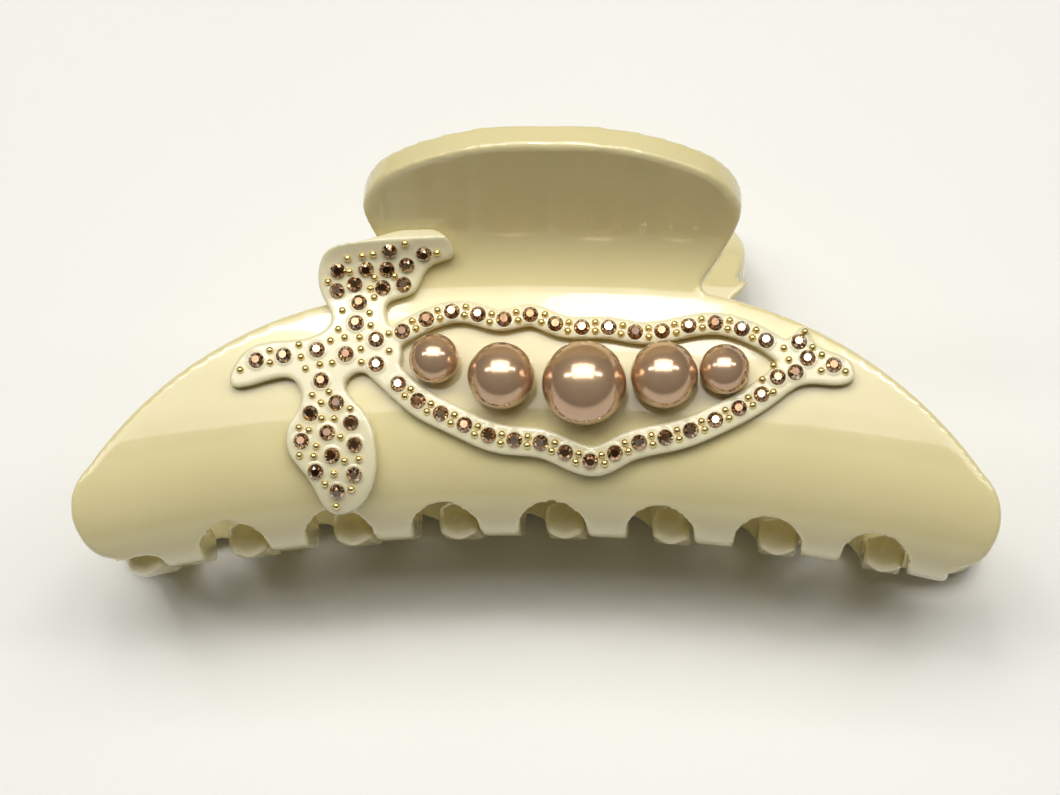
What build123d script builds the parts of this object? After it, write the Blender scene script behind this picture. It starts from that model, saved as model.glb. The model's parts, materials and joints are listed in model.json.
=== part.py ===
from build123d import *
from math import asin, atan2, cos, degrees, hypot, radians, sin
import os

# A large claw hair clip, closed and lying on its back, in millimetres.
# Two curved shells with handles and teeth turn about one pin and are closed by a torsion
# spring. A raised pea-pod relief set with stones, beads and five pearls is on the front shell.
#
# The shapes are drawn in the clip's own frame: x along the clip, w from the teeth towards
# the handles (0 at the waist) and d outwards through the front shell (0 midway between the
# shells). The clip then lies as it rests: on the rear handle's rim and the rear shell.

lie_angle = 18.28
lie_origin = (0, 3.906, 23.909)

# section of a shell: outer face as tangent arcs (radius, normal angle where the arc ends)
crest = (-16.5, 17.0)
face_steps = [(95.0, 9.7), (-9.0, -50.0), (-60.0, -70.0)]
bend_steps = [(12.0, -90.0), (120.0, -94.7)]
sheet = 3.4
relief_height = 1.8

# the shells follow an arch, so their ends hang lower than their middle
arch_radius = 268.5
arch_half_angle = 14.5

# right halves of the handles' outlines, seen square to the sheet: arcs through the points taken
# three at a time, as x from the handle's middle and the height up the sheet from its last bend
handle_centre = 2.3
handle_tilt = -60.0
front_handle = [(0, 13.8), (11.5, 12.5), (18.6, 9.3), (21.5, 6.2), (22.6, 2.8), (21.2, -2.0), (19.1, -5.6)]
rear_handle = [(0, 13.8), (10.5, 12.3), (17.3, 9.0), (20.9, 5.6), (22.9, 0.6), (22.6, -2.6), (21.6, -5.6)]

# right halves of the rest of a shell's outline, seen from the front: arcs through the points
# (x, w) in the same way, with the neck's x measured from the handle's middle
front_neck = [(28.2, 16.0), (17.8, 1.6), (18.1, 0.5), (19.2, 0.1)]
rear_neck = [(33.0, 16.0), (20.3, 1.6), (20.6, 0.5), (21.7, 0.1)]
lobe_side = [(38.6, -6.9), (53.6, -21.3), (55.7, -26.2), (54.6, -30.0), (53.2, -31.6), (51.0, -32.1)]
below_teeth = -45.0
cut_through = 60.0
clear_side = 80.0

# teeth
tooth_count = 8
tooth_pitch = 13.0
tooth_width = 5.1
tip_width = 4.6
knob_radius = 2.5
front_knob_rise = 1.0
rear_knob_rise = 0.0
notch_depth_level = 13.4
end_notch_level = 10.4
end_notch_round = 2.0
end_notch_reach = 16.0
past_tips = 4.0
front_tooth_centre = 2.15
rear_tooth_centre = -3.2
cut_height = 30.0

# hinge
pin_w = -4.5
pin_diameter = 2.4
bore_diameter = 2.5
lug_thickness = 3.2
lug_gap = 0.3
eye_radius = 3.6
lug_base = (-10.0, -1.4)
lug_seat = 0.05
rear_lug_offset = 10.0
pin_overhang = 0.5
pin_chamfer = 0.2

# spring
wire_diameter = 1.2
coil_radius = 3.2
coil_pitch = 1.3
coil_turns = 9
leg_lean = 30.0
leg_length = 16.6

# trimmings
relief_wrap = 63.0
stone_radius = 0.95
stone_table_radius = 0.55
stone_height = 0.7
bead_radius = 0.45
bead_spread = 0.52
upper_band_width = 2.7
lower_band_width = 3.5
upper_band_stones = 15
lower_band_stones = 16
band_end = 3.8
pearl_sink = 0.16
glue_gap = 0.02
setting_gap = 0.08

clip_to_world = Location(lie_origin, (lie_angle, 0, 0))
on_base = (Align.CENTER, Align.CENTER, Align.MIN)


def lie(plane):
    """A plane of the clip's own frame, moved to where the clip lies."""
    return Plane(clip_to_world * plane.location)


def arc_chain(start, steps):
    """Tangent arcs from start, as (centre, radius, first angle, last angle)."""
    arcs = []
    point = start
    angle = 0.0
    for radius, end_angle in steps:
        centre = (point[0] - radius * sin(radians(angle)), point[1] - radius * cos(radians(angle)))
        arcs.append((centre, radius, angle, end_angle))
        point = arc_point(arcs[-1], end_angle)
        angle = end_angle
    return arcs


def arc_point(arc, angle, shift=0.0):
    centre, radius = arc[0], arc[1]
    reach = radius + shift
    return (centre[0] + reach * sin(radians(angle)), centre[1] + reach * cos(radians(angle)))


upper_arcs = arc_chain(crest, face_steps)
lower_arcs = arc_chain(crest, bend_steps)


def face_at(w, height=0.0):
    """At w along the section: d and the normal's angle, on the outer face raised by height."""
    arc = lower_arcs[0]
    if w > crest[0]:
        for arc in upper_arcs:
            if w <= arc_point(arc, arc[3], height)[0]:
                break
    angle = degrees(asin((w - arc[0][0]) / (arc[1] + height)))
    return arc_point(arc, angle, height)[1], angle


def on_face(x, w, height=0.0):
    """Plane at x, w on the front shell's outer face raised by height, square to the face."""
    arch_angle = atan2(x, w + arch_radius)
    along = hypot(x, w + arch_radius) - arch_radius
    d, tilt = face_at(along, height)
    out = sin(radians(tilt))
    normal = Vector(out * sin(arch_angle), out * cos(arch_angle), cos(radians(tilt)))
    return lie(Plane(origin=(x, w, d), x_dir=(cos(arch_angle), -sin(arch_angle), 0), z_dir=normal))


def station(angle):
    """Section plane of the arch: its local x is w and its local y is d."""
    origin = (arch_radius * sin(angle), arch_radius * (cos(angle) - 1), 0)
    return lie(Plane(origin=origin, x_dir=(sin(angle), cos(angle), 0), z_dir=(cos(angle), -sin(angle), 0)))


def arch_axis():
    centre = lie(Plane(origin=(0, -arch_radius, 0)))
    return Axis(centre.origin, centre.z_dir)


def draw_arcs(arcs, shift, side):
    """Arcs of the section, shift outside the outer face; side is 1 in front and -1 at the rear."""
    for arc in arcs:
        middle = (arc[2] + arc[3]) / 2
        points = [arc_point(arc, a, shift) for a in (arc[2], middle, arc[3])]
        ThreePointArc(*[(w, side * d) for w, d in points])


def close_round(arc, inner, outer, side, forward):
    """Rounded end of the sheet after the last arc of a chain."""
    half = (outer - inner) / 2
    w, d = arc_point(arc, arc[3], (inner + outer) / 2)
    lean = radians(arc[3])
    tip = (w + forward * half * cos(lean), d - forward * half * sin(lean))
    ends = [arc_point(arc, arc[3], shift) for shift in (inner, outer)]
    ThreePointArc(*[(p, side * q) for p, q in (ends[0], tip, ends[1])])


def section_face(side):
    """Section of a shell from the tooth tip to the handle's rim."""
    with BuildLine() as outline:
        draw_arcs(upper_arcs, 0, side)
        draw_arcs(lower_arcs, 0, side)
        draw_arcs(upper_arcs, -sheet, side)
        draw_arcs(lower_arcs, -sheet, side)
        close_round(upper_arcs[-1], -sheet, 0, side, 1)
        close_round(lower_arcs[-1], -sheet, 0, side, -1)
    make_face(outline.edges())


def handle_plane(side):
    """Plane square to the handle: local x along the clip and local y up the sheet."""
    w, d = arc_point(upper_arcs[1], upper_arcs[1][3])
    lean = radians(handle_tilt)
    normal = (0, side * sin(lean), cos(lean))
    return lie(Plane(origin=(handle_centre, w, side * d), x_dir=(1, 0, 0), z_dir=normal))


def handle_outline(handle):
    """A handle's outline, open to all that is below it."""
    foot = handle[-1][1]
    with BuildLine() as outline:
        for sign in (1, -1):
            points = [(sign * x, y) for x, y in handle]
            ThreePointArc(*points[0:3])
            ThreePointArc(*points[2:5])
            ThreePointArc(*points[4:7])
            Line(points[6], (sign * clear_side, foot))
            Line((sign * clear_side, foot), (sign * clear_side, -clear_side))
        Line((clear_side, -clear_side), (-clear_side, -clear_side))
    make_face(outline.edges())


def half_outline(sign, neck_side):
    """Right (sign 1) or left (-1) half of a shell's outline, from above the handle down."""
    flare, *neck = [(handle_centre + sign * x, w) for x, w in neck_side]
    lobe = [(sign * x, w) for x, w in lobe_side]
    Line((flare[0], clear_side), flare)
    Line(flare, neck[0])
    ThreePointArc(*neck)
    ThreePointArc(neck[-1], *lobe[0:2])
    ThreePointArc(*lobe[1:4])
    ThreePointArc(*lobe[3:6])
    Line(lobe[-1], (lobe[-1][0], below_teeth))


def shell_outline(neck_side):
    foot = lobe_side[-1][0]
    flare = neck_side[0][0]
    with BuildLine() as outline:
        half_outline(1, neck_side)
        half_outline(-1, neck_side)
        Line((foot, below_teeth), (-foot, below_teeth))
        Line((handle_centre - flare, clear_side), (handle_centre + flare, clear_side))
    make_face(outline.edges())


def bottom_plane(x):
    """Plane under the teeth at x along the arch: local x along the clip, local y along d."""
    angle = x / (arch_radius + crest[0] - bend_steps[0][0])
    low = arch_radius + below_teeth
    origin = (low * sin(angle), low * cos(angle) - arch_radius, 0)
    return lie(Plane(origin=origin, x_dir=(cos(angle), -sin(angle), 0), z_dir=(-sin(angle), -cos(angle), 0)))


def notch_between(side):
    """Gap between two teeth, with the rounded flanks of their tips."""
    flank = (tooth_pitch - tooth_width) / 2
    tip_flank = (tooth_pitch - tip_width) / 2
    end_d = arc_point(lower_arcs[-1], lower_arcs[-1][3], -sheet / 2)[1] - sheet / 2
    level = notch_depth_level - flank
    round_d = end_d + tip_width / 2
    far = end_d - past_tips
    tip_middle = tooth_pitch / 2 + glue_gap
    with BuildLine() as outline:
        ThreePointArc((-flank, side * level), (0, side * notch_depth_level), (flank, side * level))
        for sign in (-1, 1):
            mid_x = tip_flank + tip_width / 2 * (1 - sin(radians(45)))
            mid_d = round_d - tip_width / 2 * cos(radians(45))
            Line((sign * flank, side * level), (sign * tip_flank, side * round_d))
            ThreePointArc((sign * tip_flank, side * round_d), (sign * mid_x, side * mid_d),
                          (sign * tip_middle, side * end_d))
            Line((sign * tip_middle, side * end_d), (sign * tip_middle, side * far))
        Line((-tip_middle, side * far), (tip_middle, side * far))
    make_face(outline.edges())


def notch_beyond(side, sign):
    """Space outside the first or last tooth."""
    flank = tooth_width / 2
    tip_flank = tip_width / 2
    end_d = arc_point(lower_arcs[-1], lower_arcs[-1][3], -sheet / 2)[1] - sheet / 2
    round_d = end_d + tip_flank
    far = end_d - past_tips
    corner = flank + end_notch_round
    bulge = end_notch_round * (1 - sin(radians(45)))
    with BuildLine() as outline:
        Line((0, side * far), (0, side * end_d))
        ThreePointArc((0, side * end_d),
                      (sign * tip_flank * sin(radians(45)), side * (round_d - tip_flank * cos(radians(45)))),
                      (sign * tip_flank, side * round_d))
        Line((sign * tip_flank, side * round_d), (sign * flank, side * (end_notch_level - end_notch_round)))
        ThreePointArc((sign * flank, side * (end_notch_level - end_notch_round)),
                      (sign * (flank + bulge), side * (end_notch_level - bulge)),
                      (sign * corner, side * end_notch_level))
        Line((sign * corner, side * end_notch_level), (sign * end_notch_reach, side * end_notch_level))
        Line((sign * end_notch_reach, side * end_notch_level), (sign * end_notch_reach, side * far))
        Line((sign * end_notch_reach, side * far), (0, side * far))
    make_face(outline.edges())


def make_shell(label, side, tooth_centre, knob_rise, handle, neck_side):
    """A shell: bent sheet cut to its outline, with notches that leave knobbed teeth."""
    tip_w, tip_d = arc_point(lower_arcs[-1], lower_arcs[-1][3], -sheet / 2)
    knob_d = side * (tip_d + (tip_width - sheet) / 2)
    with BuildPart() as shell:
        with BuildSketch(station(radians(arch_half_angle))):
            section_face(side)
        revolve(axis=arch_axis(), revolution_arc=2 * arch_half_angle)
        with BuildSketch(lie(Plane.XY)):
            shell_outline(neck_side)
        extrude(amount=cut_through, both=True, mode=Mode.INTERSECT)
        with BuildSketch(handle_plane(side)):
            handle_outline(handle)
        extrude(amount=cut_through, both=True, mode=Mode.INTERSECT)
        first = tooth_centre - tooth_pitch * (tooth_count - 1) / 2
        for gap in range(tooth_count - 1):
            under = bottom_plane(first + tooth_pitch * (gap + 0.5))
            with BuildSketch(under):
                notch_between(side)
            extrude(amount=cut_height, dir=-under.z_dir, mode=Mode.SUBTRACT)
        for sign in (-1, 1):
            end_tooth = tooth_centre + sign * tooth_pitch * (tooth_count - 1) / 2
            under = bottom_plane(end_tooth)
            with BuildSketch(under):
                notch_beyond(side, sign)
            extrude(amount=cut_height, dir=-under.z_dir, mode=Mode.SUBTRACT)
        for tooth in range(tooth_count):
            under = bottom_plane(first + tooth_pitch * tooth)
            with Locations(under.offset(below_teeth - tip_w - knob_rise).location * Location((0, knob_d, 0))):
                Sphere(knob_radius)
    save(shell, label)
    return shell


def save(piece, label):
    piece.part.label = label
    export_step(piece.part, f"parts/{label}.step")


def make_lugs(label, side, offset):
    """Pair of hinge blocks glued inside a shell, each with an eye round the pin."""
    centre, radius = upper_arcs[0][0], upper_arcs[0][1] - sheet - lug_seat
    base = []
    for w in (lug_base[0], sum(lug_base) / 2, lug_base[1]):
        rise = (radius ** 2 - (w - centre[0]) ** 2) ** 0.5
        base.append((w, side * (centre[1] + rise)))
    with BuildPart() as lugs:
        for sign in (-1, 1):
            middle = handle_centre + sign * offset
            with BuildSketch(lie(Plane.YZ.offset(middle - lug_thickness / 2))):
                with BuildLine() as outline:
                    ThreePointArc(*base)
                    Line(base[2], (pin_w + eye_radius, 0))
                    eye = [(pin_w + eye_radius, 0), (pin_w, -side * eye_radius), (pin_w - eye_radius, 0)]
                    ThreePointArc(*eye)
                    Line((pin_w - eye_radius, 0), base[0])
                make_face(outline.edges())
                with Locations((pin_w, 0)):
                    Circle(bore_diameter / 2, mode=Mode.SUBTRACT)
            extrude(amount=lug_thickness, dir=(1, 0, 0))
    save(lugs, label)


def make_pin():
    length = 2 * (rear_lug_offset + lug_thickness * 1.5 + lug_gap + pin_overhang)
    with BuildPart() as pin:
        with BuildSketch(lie(Plane.YZ.offset(handle_centre - length / 2))):
            with Locations((pin_w, 0)):
                Circle(pin_diameter / 2)
        extrude(amount=length, dir=(1, 0, 0))
        chamfer(pin.faces().filter_by(Axis.X).edges(), pin_chamfer)
    save(pin, "hinge_pin")


def make_spring():
    """Torsion spring: close coil round the pin, with a leg pressing on each shell above it."""
    turns = coil_turns - 2 * leg_lean / 360
    half = coil_pitch * turns / 2
    lean = radians(leg_lean)
    coil_end = (handle_centre - half, pin_w, 0)
    coil_start = lie(Plane(origin=coil_end, x_dir=(0, cos(lean), sin(lean)), z_dir=(1, 0, 0)))
    coil = coil_start * Helix(coil_pitch, coil_pitch * turns, coil_radius)
    with BuildPart() as spring:
        with BuildSketch(Plane(origin=coil @ 0, z_dir=coil % 0)) as wire:
            Circle(wire_diameter / 2)
        sweep(path=coil)
        extrude(wire.sketch, amount=leg_length, dir=-(coil % 0))
        with BuildSketch(Plane(origin=coil @ 1, z_dir=coil % 1)) as wire:
            Circle(wire_diameter / 2)
        extrude(wire.sketch, amount=leg_length, dir=coil % 1)
    save(spring, "torsion_spring")


# centre lines of the pod's two bands, from the calyx to the tip, as (x, w)
upper_band = [(-18.7, -7.0), (-15.7, -4.9), (-12.0, -3.0), (-8.2, -2.3), (-3.6, -3.3), (-0.4, -2.7),
              (3.0, -3.9), (9.0, -4.2), (12.6, -4.8), (16.6, -4.4), (21.6, -3.6), (25.2, -4.4), (30.8, -8.0)]
lower_band = [(-18.7, -8.6), (-15.9, -11.2), (-12.9, -13.6), (-9.0, -15.5), (-3.8, -17.6), (1.6, -18.2),
              (5.2, -19.7), (7.6, -20.2), (11.2, -18.6), (16.8, -17.2), (22.2, -15.1), (26.4, -12.8),
              (30.2, -9.7)]

# outline of the leaves, calyx and stem, clockwise from the stem's upper side
leaf_outline = [(-35.4, -8.2), (-31.0, -6.0), (-25.6, -5.0), (-24.3, -3.6), (-25.4, -0.6), (-26.0, 2.0),
                (-25.2, 4.4), (-20.4, 6.0), (-15.6, 7.5), (-10.2, 6.3), (-9.5, 4.6), (-12.4, 3.2),
                (-14.6, -0.1), (-17.6, -1.4), (-17.4, -3.6), (-15.6, -7.8), (-17.2, -10.6), (-20.8, -9.8),
                (-22.3, -11.0), (-20.2, -14.2), (-18.6, -18.0), (-18.6, -22.0), (-21.8, -26.3), (-23.9, -26.6),
                (-26.4, -23.0), (-29.2, -19.0), (-28.9, -15.8), (-27.6, -13.2), (-28.4, -10.9), (-33.0, -11.2),
                (-36.2, -11.4)]

# the forked tip of the pod
tip_outline = [(29.2, -5.4), (31.2, -4.7), (32.4, -3.7), (33.4, -5.6), (35.4, -6.9), (38.0, -8.4),
               (38.2, -10.2), (36.0, -11.0), (31.6, -11.2), (28.6, -12.4), (27.8, -10.6), (29.8, -8.6)]

# stones and beads that follow no band, as (x, w)
upper_leaf_stones = [(-23.5, 2.5), (-20.1, 2.7), (-17.2, 4.8), (-17.6, 2.7), (-15.2, 3.2), (-13.1, 4.5),
                     (-21.5, 0.9), (-23.6, 0.1), (-20.9, -1.3), (-18.1, 0.5), (-15.6, 0.9)]
calyx_stones = [(-21.2, -3.8), (-18.7, -5.8), (-22.3, -7.6), (-25.8, -7.1), (-18.6, -8.8), (-29.8, -7.8),
                (-33.1, -8.4)]
lower_leaf_stones = [(-25.2, -10.8), (-23.3, -13.5), (-26.4, -14.8), (-21.5, -15.9), (-24.3, -17.1),
                     (-27.4, -18.1), (-21.0, -18.5), (-23.7, -19.8), (-25.7, -21.7), (-21.1, -22.0),
                     (-23.2, -24.0)]
tip_stones = [(31.7, -5.8), (32.7, -7.8), (31.3, -9.5), (29.2, -10.1), (35.8, -8.6)]
upper_leaf_beads = [(-15.3, 5.6), (-11.5, 4.6), (-19.2, 4.4), (-20.5, 4.2), (-22.3, 3.9), (-19.1, 1.7),
                    (-16.7, 1.9), (-24.7, 1.2), (-22.1, 2.4), (-19.6, 0.4), (-19.1, -0.7)]
calyx_beads = [(-22.9, -2.3), (-19.6, -2.6), (-19.4, -4.1), (-23.3, -4.6), (-22.5, -5.6), (-20.7, -5.6),
               (-24.2, -6.0), (-20.5, -7.0), (-17.1, -7.2), (-17.2, -5.1), (-23.9, -8.7), (-25.4, -8.9),
               (-20.4, -8.6), (-27.1, -9.4), (-28.0, -6.5), (-27.7, -8.0), (-31.5, -7.2), (-31.4, -8.7),
               (-35.0, -9.6)]
lower_leaf_beads = [(-24.2, -12.2), (-26.2, -12.6), (-25.1, -13.5), (-21.6, -14.2), (-25.0, -15.4),
                    (-23.5, -15.4), (-27.7, -16.5), (-26.5, -16.8), (-22.7, -17.6), (-25.6, -18.7),
                    (-25.9, -19.9), (-27.6, -19.8), (-22.2, -20.4), (-20.5, -20.2), (-23.5, -21.9),
                    (-24.6, -23.1), (-21.5, -23.7), (-23.4, -25.7)]
tip_beads = [(29.9, -6.6), (28.7, -8.7), (30.5, -8.0), (32.4, -4.6), (33.3, -6.5), (34.4, -7.4), (34.3, -9.3),
             (37.2, -9.4), (27.4, -10.4), (28.7, -11.9)]

# pearls, as (x, w, radius)
pearls = [(-11.6, -8.4, 3.0), (-3.5, -10.5, 4.0), (6.4, -11.4, 5.0), (15.8, -10.3, 4.0), (22.9, -9.5, 3.0)]


def band_layer(inner, outer):
    """Section of a layer on the front shell's face, between two heights above it."""
    arcs = [(lower_arcs[0][0], lower_arcs[0][1], -relief_wrap, 0.0)] + upper_arcs[:2]
    with BuildLine() as outline:
        draw_arcs(arcs, inner, 1)
        draw_arcs(arcs, outer, 1)
        for arc, angle in ((arcs[0], arcs[0][2]), (arcs[-1], arcs[-1][3])):
            Line(arc_point(arc, angle, inner), arc_point(arc, angle, outer))
    make_face(outline.edges())


def make_relief():
    """Pea pod, leaves and stem in one raised piece, glued to the front shell."""
    with BuildPart() as relief:
        with BuildSketch(station(radians(arch_half_angle))):
            band_layer(glue_gap, relief_height)
        revolve(axis=arch_axis(), revolution_arc=2 * arch_half_angle)
        with BuildSketch(lie(Plane.XY)):
            for points, width in ((upper_band, upper_band_width), (lower_band, lower_band_width)):
                with BuildLine(mode=Mode.PRIVATE) as centre_line:
                    Spline(*points)
                trace(centre_line.line, line_width=width)
            for points in (leaf_outline, tip_outline):
                with BuildLine(mode=Mode.PRIVATE) as leaf:
                    Spline(*points, periodic=True)
                make_face(leaf.edges())
        extrude(amount=cut_through, both=True, mode=Mode.INTERSECT)
    save(relief, "pod_relief")
    return relief


def band_places(points, count):
    """Even places along a band: where its stones sit and, between them, its pairs of beads."""
    curve = Spline(*points, mode=Mode.PRIVATE)
    pitch = (curve.length - 2 * band_end) / (count - 1)
    stones = []
    beads = []
    for place in range(count):
        reach = band_end + pitch * place
        spot = curve.position_at(reach, position_mode=PositionMode.LENGTH)
        stones.append((spot.X, spot.Y))
        if place < count - 1:
            between = reach + pitch / 2
            spot = curve.position_at(between, position_mode=PositionMode.LENGTH)
            run = curve.tangent_at(between, position_mode=PositionMode.LENGTH)
            for sign in (-1, 1):
                beads.append((spot.X - sign * bead_spread * run.Y, spot.Y + sign * bead_spread * run.X))
    return stones, beads


def make_stones(label, places):
    """Flat-backed stones: a cone up to a flat table."""
    with BuildPart() as stones:
        for x, w in places:
            with Locations(on_face(x, w, relief_height + setting_gap).location):
                Cone(stone_radius, stone_table_radius, stone_height, align=on_base)
    save(stones, label)


def make_beads(label, places):
    with BuildPart() as beads:
        for x, w in places:
            with Locations(on_face(x, w, relief_height + setting_gap).location):
                Sphere(bead_radius, arc_size1=0, align=on_base)
    save(beads, label)


def make_pearl(label, x, w, radius):
    """Pearl with a small flat ground on it, glued to the face of the shell."""
    seat = on_face(x, w, glue_gap)
    with BuildPart() as pearl:
        with Locations(seat.offset(radius * (1 - pearl_sink)).location):
            Sphere(radius)
        split(bisect_by=seat, keep=Keep.TOP)
    save(pearl, label)


os.makedirs("parts", exist_ok=True)
make_shell("rear_jaw", -1, rear_tooth_centre, rear_knob_rise, rear_handle, rear_neck)
make_shell("front_jaw", 1, front_tooth_centre, front_knob_rise, front_handle, front_neck)
make_lugs("rear_hinge_lugs", -1, rear_lug_offset)
make_lugs("front_hinge_lugs", 1, rear_lug_offset + lug_thickness + lug_gap)
make_pin()
make_spring()
make_relief()
upper_stones, upper_beads = band_places(upper_band, upper_band_stones)
lower_stones, lower_beads = band_places(lower_band, lower_band_stones)
for region, stones, beads in (
    ("upper_leaf", upper_leaf_stones, upper_leaf_beads),
    ("calyx", calyx_stones, calyx_beads),
    ("lower_leaf", lower_leaf_stones, lower_leaf_beads),
    ("pod_upper", upper_stones, upper_beads),
    ("pod_lower", lower_stones, lower_beads),
    ("pod_tip", tip_stones, tip_beads),
):
    make_stones("stones_" + region, stones)
    make_beads("beads_" + region, beads)
for number, (x, w, radius) in enumerate(pearls, 1):
    make_pearl(f"pearl_{number}", x, w, radius)
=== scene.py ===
import json
import random
from math import asin, cos, pi, radians, sin

import bmesh
import bpy
import numpy as np
from mathutils import Matrix, Vector


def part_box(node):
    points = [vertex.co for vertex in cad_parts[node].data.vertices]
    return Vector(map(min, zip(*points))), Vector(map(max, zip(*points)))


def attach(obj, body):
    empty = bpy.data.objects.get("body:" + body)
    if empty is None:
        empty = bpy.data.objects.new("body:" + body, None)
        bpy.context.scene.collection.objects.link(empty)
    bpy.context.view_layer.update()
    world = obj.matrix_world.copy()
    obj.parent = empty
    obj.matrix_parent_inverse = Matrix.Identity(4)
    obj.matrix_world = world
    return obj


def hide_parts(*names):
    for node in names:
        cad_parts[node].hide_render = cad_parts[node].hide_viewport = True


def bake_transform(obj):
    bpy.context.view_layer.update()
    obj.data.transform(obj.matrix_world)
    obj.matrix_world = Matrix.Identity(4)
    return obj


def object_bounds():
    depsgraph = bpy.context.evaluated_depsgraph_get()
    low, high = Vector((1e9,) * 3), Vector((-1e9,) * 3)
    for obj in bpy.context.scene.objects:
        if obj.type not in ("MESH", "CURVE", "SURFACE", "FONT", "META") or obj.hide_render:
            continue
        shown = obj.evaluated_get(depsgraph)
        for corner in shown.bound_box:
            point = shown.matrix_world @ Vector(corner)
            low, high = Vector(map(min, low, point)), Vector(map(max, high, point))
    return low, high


# A cream claw hair clip lying on its back: two moulded shells, a pea-pod relief set with
# rhinestones and gold beads, five bronze pearls, and the hinge with its torsion spring.
# Lengths are in metres, and MM turns millimetres into them.

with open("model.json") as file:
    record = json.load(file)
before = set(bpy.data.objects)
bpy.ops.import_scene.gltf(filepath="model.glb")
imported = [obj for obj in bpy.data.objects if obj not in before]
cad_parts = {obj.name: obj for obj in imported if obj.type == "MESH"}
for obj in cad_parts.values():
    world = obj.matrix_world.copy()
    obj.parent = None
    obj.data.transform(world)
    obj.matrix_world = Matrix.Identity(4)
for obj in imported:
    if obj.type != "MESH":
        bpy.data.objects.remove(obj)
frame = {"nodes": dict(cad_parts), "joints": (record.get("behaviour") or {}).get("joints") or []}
cad_low, cad_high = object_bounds()

MM = 0.001
random.seed(7)

# how the clip lies: its own frame is x along it, w towards the handles and d out of its front
LIE_ANGLE = radians(18.28)
hinge = frame["joints"][0]
HINGE = Vector(hinge["pos_m"])
PIN_W = -4.5 * MM
HINGE_X = 2.3 * MM
CLIP_TO_WORLD = (Matrix.Translation(HINGE) @ Matrix.Rotation(LIE_ANGLE, 4, "X")
                 @ Matrix.Translation((-HINGE_X, -PIN_W, 0)))

# meshes
JAW_VOXEL = 0.3 * MM
JAW_PASSES = 22
LUG_PASSES = 10
RELIEF_VOXEL = 0.17 * MM
RELIEF_PASSES = 32
SETTING_VOXEL = 0.12 * MM
SETTING_PASSES = 3

STONE_RADIUS = 0.95 * MM
STONE_HEIGHT = 0.7 * MM
STONE_SEAT = 0.08 * MM
SET_LEAN = radians(5)
RIM_RADIUS = 1.05 * MM
RIM_WIRE = 0.13 * MM
RIM_SINK = 0.1 * MM
RIM_STEPS = 24
RIM_SIDES = 8
BEAD_RADIUS = 0.45 * MM
BEAD_SIDES = 20
PEARL_SINK = 0.16
PEARL_ROWS = 56
PEARL_SIDES = 96
SEAM_GAP = 0.001 * MM

WIRE_RADIUS = 0.6 * MM
COIL_RADIUS = 3.2 * MM
COIL_PITCH = 1.3 * MM
COIL_TURNS = 9
LEG_LEAN = radians(30)
LEG_LENGTH = 16.6 * MM
LEG_STEPS = 12
TURN_STEPS = 36
WIRE_SIDES = 14
WIRE_END = 0.7

REGIONS = ("upper_leaf", "calyx", "lower_leaf", "pod_upper", "pod_lower", "pod_tip")


# ---------------------------------------------------------------- materials

def new_material(name):
    """A node material, its Principled shader and a function that adds nodes to it."""
    material = bpy.data.materials.new(name)
    material.use_nodes = True
    tree = material.node_tree
    shader = tree.nodes["Principled BSDF"]

    def add(kind, inputs=None, **settings):
        node = tree.nodes.new(kind)
        for key, value in settings.items():
            setattr(node, key, value)
        for key, value in (inputs or {}).items():
            if isinstance(value, bpy.types.NodeSocket):
                tree.links.new(value, node.inputs[key])
            else:
                node.inputs[key].default_value = value
        return node

    def link(socket, name):
        tree.links.new(socket, shader.inputs[name])

    return material, shader, add, link


def linear(red, green, blue):
    """A display colour, 0 to 255, as a linear colour for a shader."""
    parts = [c / 255 for c in (red, green, blue)]
    return tuple(c / 12.92 if c <= 0.04045 else ((c + 0.055) / 1.055) ** 2.4 for c in parts) + (1.0,)


def add_noise(add, scale, detail=3.0):
    place = add("ShaderNodeTexCoord")
    return add("ShaderNodeTexNoise", {"Vector": place.outputs["Object"], "Scale": scale, "Detail": detail})


def moulded_plastic(name, pale, deep, gloss):
    """Cream acetate: faint clouding, a polished skin with hairline waves, light soaking in."""
    material, shader, add, link = new_material(name)
    cloud = add_noise(add, 90.0, 4.0)
    tint = add("ShaderNodeMix", {"Factor": cloud.outputs["Fac"], "A": deep, "B": pale}, data_type="RGBA")
    link(tint.outputs["Result"], "Base Color")
    polish = add_noise(add, 700.0)
    rough = add("ShaderNodeMapRange", {"Value": polish.outputs["Fac"],
                                       "To Min": gloss, "To Max": gloss + 0.1})
    link(rough.outputs["Result"], "Roughness")
    waves = add_noise(add, 260.0, 1.0)
    grain = add_noise(add, 4200.0)
    low = add("ShaderNodeBump", {"Height": waves.outputs["Fac"], "Strength": 0.06, "Distance": 0.0006})
    skin = add("ShaderNodeBump", {"Height": grain.outputs["Fac"], "Strength": 0.03, "Distance": 0.0001,
                                  "Normal": low.outputs["Normal"]})
    link(skin.outputs["Normal"], "Normal")
    shader.inputs["Subsurface Weight"].default_value = 0.18
    shader.inputs["Subsurface Radius"].default_value = (1.0, 0.8, 0.45)
    shader.inputs["Subsurface Scale"].default_value = 0.0015
    shader.inputs["Coat Weight"].default_value = 0.6
    shader.inputs["Coat Roughness"].default_value = 0.02
    shader.inputs["IOR"].default_value = 1.48
    return material


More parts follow.
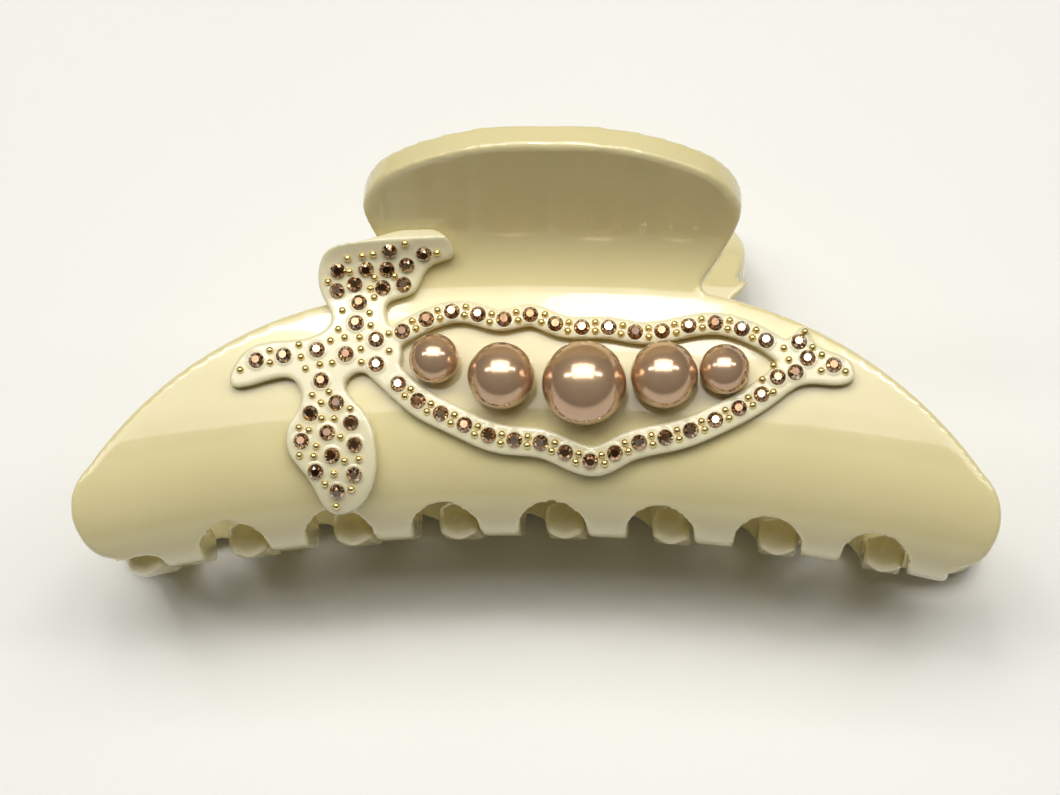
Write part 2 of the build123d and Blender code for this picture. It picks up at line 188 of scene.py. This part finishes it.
def pearl_lacquer():
    """Bronze pearl: warm body with painted shade that darkens it towards the rim as seen from the camera,
    under a hard clear lacquer.
    """
    material, shader, add, link = new_material("pearl_lacquer")
    # painted shade: the colour goes from a pale centre to deep bronze where the sphere turns away from the
    # camera
    rim_shade = add("ShaderNodeLayerWeight", {"Blend": 0.42})
    body = add("ShaderNodeMix", {"Factor": rim_shade.outputs["Facing"], "A": linear(226, 192, 154),
                                 "B": linear(150, 98, 48)}, data_type="RGBA")
    cloud = add_noise(add, 260.0, 4.0)
    tint = add("ShaderNodeMix", {"Factor": cloud.outputs["Fac"], "A": (0.93, 0.9, 0.9, 1),
                                 "B": (1.05, 1.05, 1.04, 1)}, data_type="RGBA")
    both = add("ShaderNodeMix", {"Factor": 1.0, "A": body.outputs["Result"], "B": tint.outputs["Result"]},
               data_type="RGBA", blend_type="MULTIPLY")
    link(both.outputs["Result"], "Base Color")
    satin = add("ShaderNodeMapRange", {"Value": cloud.outputs["Fac"], "To Min": 0.16, "To Max": 0.26})
    link(satin.outputs["Result"], "Roughness")
    grain = add_noise(add, 5200.0)
    skin = add("ShaderNodeBump", {"Height": grain.outputs["Fac"], "Strength": 0.04, "Distance": 0.00005})
    link(skin.outputs["Normal"], "Normal")
    shader.inputs["Metallic"].default_value = 0.6
    shader.inputs["Coat Weight"].default_value = 1.0
    shader.inputs["Coat Roughness"].default_value = 0.02
    shader.inputs["Coat IOR"].default_value = 1.7
    return material


def foiled_glass():
    """Smoky topaz rhinestone: each facet gets a random painted brightness, from dark brown to near white,
    standing in for light thrown back from the foil inside the stone.
    """
    material, shader, add, link = new_material("foiled_glass")
    painted_facet_glint = add("ShaderNodeAttribute", attribute_name="painted_facet_glint")
    painted_glint_tone = add("ShaderNodeValToRGB", {"Fac": painted_facet_glint.outputs["Fac"]})
    ramp = painted_glint_tone.color_ramp
    # painted reflection: dark facets and near-white glints, picked at random for each facet
    ramp.elements[0].color = linear(84, 54, 30)
    ramp.elements[1].color = linear(246, 236, 222)
    for place, colour in ((0.3, (140, 98, 60)), (0.62, (188, 146, 102)), (0.86, (226, 196, 158))):
        ramp.elements.new(place).color = linear(*colour)
    speckle = add_noise(add, 2600.0)
    # painted sparkle: fine noise makes each facet brighter or darker in small spots
    painted_sparkle = add("ShaderNodeMapRange", {"Value": speckle.outputs["Fac"], "From Min": 0.35, "From Max": 0.65,
                                       "To Min": 0.75, "To Max": 1.25})
    shade = add("ShaderNodeVectorMath", {0: painted_glint_tone.outputs["Color"], "Scale": painted_sparkle.outputs["Result"]},
                operation="SCALE")
    link(shade.outputs["Vector"], "Base Color")
    haze = add("ShaderNodeMapRange", {"Value": speckle.outputs["Fac"], "To Min": 0.04, "To Max": 0.12})
    link(haze.outputs["Result"], "Roughness")
    shader.inputs["Metallic"].default_value = 0.85
    shader.inputs["Coat Weight"].default_value = 1.0
    shader.inputs["Coat Roughness"].default_value = 0.01
    shader.inputs["Coat IOR"].default_value = 1.65
    return material


def metal(name, bright, dull, gloss, scale):
    """Metal with a faintly uneven polish."""
    material, shader, add, link = new_material(name)
    wear = add_noise(add, scale, 5.0)
    tint = add("ShaderNodeMix", {"Factor": wear.outputs["Fac"], "A": dull, "B": bright}, data_type="RGBA")
    link(tint.outputs["Result"], "Base Color")
    rough = add("ShaderNodeMapRange", {"Value": wear.outputs["Fac"], "To Min": gloss + 0.12, "To Max": gloss})
    link(rough.outputs["Result"], "Roughness")
    skin = add("ShaderNodeBump", {"Height": wear.outputs["Fac"], "Strength": 0.05, "Distance": 0.0001})
    link(skin.outputs["Normal"], "Normal")
    shader.inputs["Metallic"].default_value = 1.0
    return material


def table_top():
    material, shader, add, link = new_material("table_top")
    cloud = add_noise(add, 6.0)
    tint = add("ShaderNodeMix", {"Factor": cloud.outputs["Fac"], "A": (0.86, 0.855, 0.82, 1),
                                 "B": (0.9, 0.895, 0.865, 1)}, data_type="RGBA")
    link(tint.outputs["Result"], "Base Color")
    shader.inputs["Roughness"].default_value = 0.55
    return material


def dark_cloth():
    material, shader, add, link = new_material("dark_cloth")
    weave = add_noise(add, 300.0)
    tint = add("ShaderNodeMix", {"Factor": weave.outputs["Fac"], "A": (0.02, 0.018, 0.015, 1),
                                 "B": (0.045, 0.04, 0.035, 1)}, data_type="RGBA")
    link(tint.outputs["Result"], "Base Color")
    shader.inputs["Roughness"].default_value = 0.9
    return material


# ---------------------------------------------------------------- mesh tools

def new_piece(name, points, faces, smooth=True):
    mesh = bpy.data.meshes.new(name)
    mesh.from_pydata([tuple(p) for p in points], [], faces)
    mesh.validate()
    mesh.update()
    piece = bpy.data.objects.new(name, mesh)
    bpy.context.scene.collection.objects.link(piece)
    if smooth:
        mesh.shade_smooth()
    return piece


def finish_piece(piece, body, nodes, material):
    """The piece gets its material, rides on a body and stands for CAD nodes."""
    piece.data.materials.clear()
    piece.data.materials.append(material)
    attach(piece, body)
    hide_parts(*nodes)


def cad_copy(node):
    """A bmesh of a CAD node with its seams closed."""
    copy = bmesh.new()
    copy.from_mesh(frame["nodes"][node].data)
    bmesh.ops.remove_doubles(copy, verts=copy.verts, dist=SEAM_GAP)
    return copy


def apply_modifiers(piece):
    """Replaces the piece's mesh with what its modifiers make of it."""
    view = bpy.context.evaluated_depsgraph_get()
    result = bpy.data.meshes.new_from_object(piece.evaluated_get(view))
    piece.modifiers.clear()
    piece.data = result


def soften(piece, voxel, passes):
    """Rebuilds the piece from voxels and relaxes it, which rounds its edges as moulding does."""
    remesh = piece.modifiers.new("remesh", "REMESH")
    remesh.mode = "VOXEL"
    remesh.voxel_size = voxel
    remesh.use_smooth_shade = True
    relax = piece.modifiers.new("relax", "SMOOTH")
    relax.factor = 0.5
    relax.iterations = passes
    apply_modifiers(piece)


def piece_from_cad(name, node):
    copy = cad_copy(node)
    mesh = bpy.data.meshes.new(name)
    copy.to_mesh(mesh)
    copy.free()
    piece = bpy.data.objects.new(name, mesh)
    bpy.context.scene.collection.objects.link(piece)
    return piece


def solids_of(node):
    """The points of each separate solid in a CAD node."""
    copy = cad_copy(node)
    seen = set()
    solids = []
    for start in copy.verts:
        if start in seen:
            continue
        seen.add(start)
        found = [start]
        for vert in found:
            for edge in vert.link_edges:
                other = edge.other_vert(vert)
                if other not in seen:
                    seen.add(other)
                    found.append(other)
        solids.append(np.array([vert.co for vert in found]))
    copy.free()
    return solids


def seat_of(points):
    """The frame of a small trimming: origin in the middle of its base, local Z out of it."""
    middle = points.mean(axis=0)
    axes = np.linalg.svd(points - middle)[2]
    local = (points - middle) @ axes.T
    reach = np.hypot(local[:, 0], local[:, 1])
    above = local[:, 2] > 0
    if reach[above].max() > reach[~above].max():
        axes[2] *= -1
        local[:, 2] *= -1
    centre = (local.max(axis=0) + local.min(axis=0)) / 2
    base = middle + centre[0] * axes[0] + centre[1] * axes[1] + local[:, 2].min() * axes[2]
    across = Vector(axes[0])
    out = Vector(axes[2])
    seat = Matrix((across, out.cross(across), out)).transposed().to_4x4()
    seat.translation = Vector(base)
    return seat


def ring(radius, height, count, turn=0.0):
    """Points evenly round local Z, the first one turned by a share of a step."""
    steps = [2 * pi * (n + turn) / count for n in range(count)]
    return [Vector((radius * cos(a), radius * sin(a), height)) for a in steps]


def lathe(profile, count):
    """Points and faces of a profile of (radius, height) turned round local Z, open at its ends."""
    points = [p for radius, height in profile for p in ring(radius, height, count)]
    faces = []
    for row in range(len(profile) - 1):
        for n in range(count):
            m = (n + 1) % count
            faces.append((row * count + n, row * count + m, (row + 1) * count + m, (row + 1) * count + n))
    faces.append(tuple(range(count - 1, -1, -1)))
    last = (len(profile) - 1) * count
    faces.append(tuple(range(last, last + count)))
    return points, faces


def torus(radius, wire, count, sides):
    rings = []
    for n in range(count):
        a = 2 * pi * n / count
        for m in range(sides):
            b = 2 * pi * m / sides
            r = radius + wire * cos(b)
            rings.append(Vector((r * cos(a), r * sin(a), wire * sin(b))))
    faces = []
    for n in range(count):
        for m in range(sides):
            after = (n + 1) % count
            beside = (m + 1) % sides
            faces.append((n * sides + m, after * sides + m, after * sides + beside, n * sides + beside))
    return rings, faces


def gather(shapes):
    """Joins placed shapes, each (matrix, points, faces), into one list of points and faces."""
    points, faces = [], []
    for matrix, own_points, own_faces in shapes:
        first = len(points)
        points += [matrix @ p for p in own_points]
        faces += [tuple(first + n for n in face) for face in own_faces]
    return points, faces


# ---------------------------------------------------------------- shells and hinge blocks

def make_moulding(node, body, material, voxel, passes):
    piece = piece_from_cad(node + "_moulded", node)
    soften(piece, voxel, passes)
    finish_piece(piece, body, [node], material)
    return piece


# ---------------------------------------------------------------- relief

def make_relief(stone_seats, material):
    """The pod and leaves with rounded edges, and a low rim round each stone."""
    piece = piece_from_cad("pod_relief_moulded", "pod_relief")
    soften(piece, RELIEF_VOXEL, RELIEF_PASSES)
    rim_points, rim_faces = torus(RIM_RADIUS, RIM_WIRE, RIM_STEPS, RIM_SIDES)
    sink = Matrix.Translation((0, 0, -RIM_SINK))
    points, faces = gather([(seat @ sink, rim_points, rim_faces) for seat in stone_seats])
    rims = new_piece("rims", points, faces)
    both = bmesh.new()
    both.from_mesh(piece.data)
    both.from_mesh(rims.data)
    both.to_mesh(piece.data)
    both.free()
    bpy.data.objects.remove(rims)
    soften(piece, SETTING_VOXEL, SETTING_PASSES)
    finish_piece(piece, "front", ["pod_relief"], material)


# ---------------------------------------------------------------- stones, beads and pearls

def rhinestone():
    """Points and faces of a brilliant cut: table, star, kite and girdle facets on a flat back."""
    table = ring(0.5 * STONE_RADIUS, STONE_HEIGHT, 8, 0.5)
    crown = ring(0.76 * STONE_RADIUS, 0.68 * STONE_HEIGHT, 8)
    girdle = ring(0.985 * STONE_RADIUS, 0.24 * STONE_HEIGHT, 16)
    back = ring(0.93 * STONE_RADIUS, 0.0, 16)
    points = table + crown + girdle + back
    faces = [tuple(range(8))]
    for n in range(8):
        here, after, before = n, (n + 1) % 8, (n - 1) % 8
        side = 16 + 2 * n
        next_side = 16 + (2 * n + 1) % 16
        last_side = 16 + (2 * n - 1) % 16
        faces.append((before, 8 + here, here))
        faces.append((here, 8 + here, next_side))
        faces.append((here, next_side, 8 + after))
        faces.append((8 + here, side, next_side))
        faces.append((8 + here, last_side, side))
    for n in range(16):
        m = (n + 1) % 16
        faces.append((16 + n, 32 + n, 32 + m, 16 + m))
    faces.append(tuple(range(47, 31, -1)))
    return points, faces


def make_stones(region, seats, material):
    points, faces = rhinestone()
    shapes = []
    for seat in seats:
        lean = Matrix.Rotation(random.uniform(-SET_LEAN, SET_LEAN), 4, "X")
        turned = seat @ Matrix.Rotation(random.uniform(0, 2 * pi), 4, "Z") @ lean
        shapes.append((turned, points, faces))
    piece = new_piece("stones_" + region + "_cut", *gather(shapes), smooth=False)
    # painted reflection: a random glint value for each facet, which the stone material turns into its
    # brightness
    painted_facet_glint = piece.data.attributes.new("painted_facet_glint", "FLOAT", "FACE")
    painted_facet_glint.data.foreach_set("value", [random.random() ** 1.25 for face in piece.data.polygons])
    finish_piece(piece, "front", ["stones_" + region], material)


def make_beads(region, seats, material):
    """Gold half-round studs, each with a thin foot."""
    steps = [radians(a) for a in (2, 14, 28, 42, 56, 70, 84)]
    dome = [(BEAD_RADIUS * cos(a), BEAD_RADIUS * sin(a)) for a in steps]
    profile = [(0.9 * BEAD_RADIUS, -0.5 * STONE_SEAT), (BEAD_RADIUS, 0.0)] + dome
    points, faces = lathe(profile, BEAD_SIDES)
    piece = new_piece("beads_" + region + "_set", *gather([(seat, points, faces) for seat in seats]))
    finish_piece(piece, "front", ["beads_" + region], material)


def make_pearl(number, material):
    """A pearl with the small flat ground where it is glued on."""
    node = f"pearl_{number}"
    low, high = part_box(node)
    radius = (high[0] - low[0]) / 2
    centre = Vector(((low[0] + high[0]) / 2, (low[1] + high[1]) / 2, high[2] - radius))
    copy = cad_copy(node)
    foot = max(copy.faces, key=lambda face: face.calc_area()).normal.copy()
    copy.free()
    start = -asin(1 - PEARL_SINK)
    end = pi / 2 - 0.01
    angles = [start + (end - start) * n / PEARL_ROWS for n in range(PEARL_ROWS + 1)]
    profile = [(radius * cos(a), radius * sin(a)) for a in angles]
    points, faces = lathe(profile, PEARL_SIDES)
    place = Matrix.Translation(centre) @ (-foot).to_track_quat("Z", "Y").to_matrix().to_4x4()
    piece = new_piece(node + "_lacquered", *gather([(place, points, faces)]))
    finish_piece(piece, "front", [node], material)


# ---------------------------------------------------------------- spring

def spring_path():
    """Centre line of the spring in the clip's frame: leg, coil round the pin, leg."""
    turns = COIL_TURNS - 2 * LEG_LEAN / (2 * pi)
    steps = int(turns * TURN_STEPS)
    length = COIL_PITCH * turns
    coil = []
    for n in range(steps + 1):
        a = LEG_LEAN + 2 * pi * turns * n / steps
        coil.append(Vector((HINGE_X - length / 2 + length * n / steps,
                            PIN_W + COIL_RADIUS * cos(a), COIL_RADIUS * sin(a))))
    first = (coil[0] - coil[1]).normalized()
    last = (coil[-1] - coil[-2]).normalized()
    legs = [LEG_LENGTH * n / LEG_STEPS for n in range(1, LEG_STEPS + 1)]
    return [coil[0] + first * r for r in reversed(legs)] + coil + [coil[-1] + last * r for r in legs]


def wire_mesh(path, radius, sides):
    """Points and faces of a round wire along a path, with domed ends."""
    across = Vector((1, 0, 0))
    points = []
    for n, here in enumerate(path):
        ahead = path[min(n + 1, len(path) - 1)] - path[max(n - 1, 0)]
        ahead.normalize()
        across = (across - ahead * across.dot(ahead)).normalized()
        up = ahead.cross(across)
        size = radius * (WIRE_END if n in (0, len(path) - 1) else 1.0)
        for m in range(sides):
            a = 2 * pi * m / sides
            points.append(here + across * size * cos(a) + up * size * sin(a))
    faces = []
    for n in range(len(path) - 1):
        for m in range(sides):
            k = (m + 1) % sides
            faces.append((n * sides + m, n * sides + k, (n + 1) * sides + k, (n + 1) * sides + m))
    faces.append(tuple(range(sides - 1, -1, -1)))
    last = (len(path) - 1) * sides
    faces.append(tuple(range(last, last + sides)))
    return points, faces


def make_spring(material):
    path = spring_path()
    points, faces = wire_mesh(path, WIRE_RADIUS, WIRE_SIDES)
    piece = new_piece("torsion_spring_wire", *gather([(CLIP_TO_WORLD, points, faces)]))
    piece.data.materials.append(material)
    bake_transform(piece)
    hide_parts("torsion_spring")


# ---------------------------------------------------------------- build

cream = moulded_plastic("cream_acetate", linear(233, 221, 170), linear(224, 212, 158), 0.1)
cream_relief = moulded_plastic("cream_relief", linear(240, 232, 196), linear(232, 223, 184), 0.16)
steel = metal("spring_steel", linear(205, 203, 198), linear(150, 148, 142), 0.16, 900.0)
brass = metal("gold_bead", linear(255, 240, 176), linear(240, 212, 132), 0.24, 1500.0)
topaz = foiled_glass()
lacquer = pearl_lacquer()

make_moulding("rear_jaw", "rear", cream, JAW_VOXEL, JAW_PASSES)
make_moulding("front_jaw", "front", cream, JAW_VOXEL, JAW_PASSES)
make_moulding("rear_hinge_lugs", "rear", cream, JAW_VOXEL, LUG_PASSES)
make_moulding("front_hinge_lugs", "front", cream, JAW_VOXEL, LUG_PASSES)

pin = frame["nodes"]["hinge_pin"]
pin.data.materials.clear()
pin.data.materials.append(steel)
make_spring(steel)

stone_seats = {region: [seat_of(p) for p in solids_of("stones_" + region)] for region in REGIONS}
make_relief([seat for region in REGIONS for seat in stone_seats[region]], cream_relief)
for region in REGIONS:
    make_stones(region, stone_seats[region], topaz)
    make_beads(region, [seat_of(p) for p in solids_of("beads_" + region)], brass)
for number in range(1, 6):
    make_pearl(number, lacquer)


# ---------------------------------------------------------------- stage, lights and camera

FLOOR_REACH = 1.5
floor = new_piece("floor", [(-FLOOR_REACH, -FLOOR_REACH, 0), (FLOOR_REACH, -FLOOR_REACH, 0),
                            (FLOOR_REACH, FLOOR_REACH, 0), (-FLOOR_REACH, FLOOR_REACH, 0)], [(0, 1, 2, 3)])
floor.data.materials.append(table_top())

# the camera looks square on to the clip's front, from a little to the right and below
CAMERA_YAW = radians(4.0)
CAMERA_DROP = radians(5.0)
CAMERA_ROLL = radians(0.7)
CAMERA_REACH = 0.4
CAMERA_AIM = Vector((-1.45, -11.08, 0)) * MM
LENS = 108.95

back = Vector((sin(CAMERA_YAW) * cos(CAMERA_DROP), -sin(CAMERA_DROP), cos(CAMERA_YAW) * cos(CAMERA_DROP)))
level = Vector((0, 1, 0)).cross(back).normalized()
upright = back.cross(level)
right = cos(CAMERA_ROLL) * level + sin(CAMERA_ROLL) * upright
up = cos(CAMERA_ROLL) * upright - sin(CAMERA_ROLL) * level
pose = Matrix((right, up, back)).transposed().to_4x4()
pose.translation = CAMERA_AIM + CAMERA_REACH * back
camera = bpy.data.objects.new("camera", bpy.data.cameras.new("camera"))
camera.data.lens = LENS
camera.data.sensor_width = 36.0
camera.data.clip_start = 0.01
camera.matrix_world = CLIP_TO_WORLD @ pose
bpy.context.scene.collection.objects.link(camera)
bpy.context.scene.camera = camera

middle = Vector(((cad_low[0] + cad_high[0]) / 2, (cad_low[1] + cad_high[1]) / 2, cad_high[2] / 2))


def add_lamp(name, lean_x, lean_y, reach, width, depth, watts):
    """A soft rectangular lamp above the clip, leaning from the vertical in X and in Y."""
    data = bpy.data.lights.new(name, "AREA")
    data.shape = "RECTANGLE"
    data.size = width
    data.size_y = depth
    data.energy = watts
    data.color = (1.0, 0.985, 0.955)
    lamp = bpy.data.objects.new(name, data)
    out = Vector((sin(lean_x), sin(lean_y) * cos(lean_x), cos(lean_y) * cos(lean_x)))
    lamp.location = middle + reach * out
    lamp.rotation_mode = "QUATERNION"
    lamp.rotation_quaternion = out.to_track_quat("Z", "Y")
    bpy.context.scene.collection.objects.link(lamp)


add_lamp("ceiling", 0.0, radians(10), 1.0, 1.1, 0.75, 7.9)
add_lamp("middle_lamp", radians(-1), radians(8), 0.9, 0.09, 0.3, 0.85)
add_lamp("left_lamp", radians(-16), radians(8), 0.9, 0.06, 0.26, 0.6)
add_lamp("far_left_lamp", radians(-40), radians(2), 0.9, 0.1, 0.3, 0.7)
add_lamp("right_lamp", radians(15), radians(8), 0.9, 0.06, 0.26, 0.6)
add_lamp("far_right_lamp", radians(40), radians(6), 0.9, 0.1, 0.3, 0.7)

# a dark screen above the near side, where whoever looks at the clip would stand
SCREEN_REACH = 0.5
SCREEN_LEAN = radians(-38)
SCREEN_SIZE = (0.17, 0.13)
out = Vector((0.06, sin(SCREEN_LEAN), cos(SCREEN_LEAN))).normalized()
place = Matrix.Translation(middle + SCREEN_REACH * out) @ out.to_track_quat("Z", "Y").to_matrix().to_4x4()
corners = [(-1, -1), (1, -1), (0.6, 1), (-0.6, 1)]
points = [place @ Vector((SCREEN_SIZE[0] * x, SCREEN_SIZE[1] * y, 0)) for x, y in corners]
screen = new_piece("screen", points, [(0, 1, 2, 3)])
screen.data.materials.append(dark_cloth())
screen.visible_camera = False

world = bpy.data.worlds.new("studio")
world.use_nodes = True
world.node_tree.nodes["Background"].inputs["Color"].default_value = (1.0, 0.99, 0.96, 1)
world.node_tree.nodes["Background"].inputs["Strength"].default_value = 0.06
bpy.context.scene.world = world
bpy.context.scene.view_settings.view_transform = "Standard"
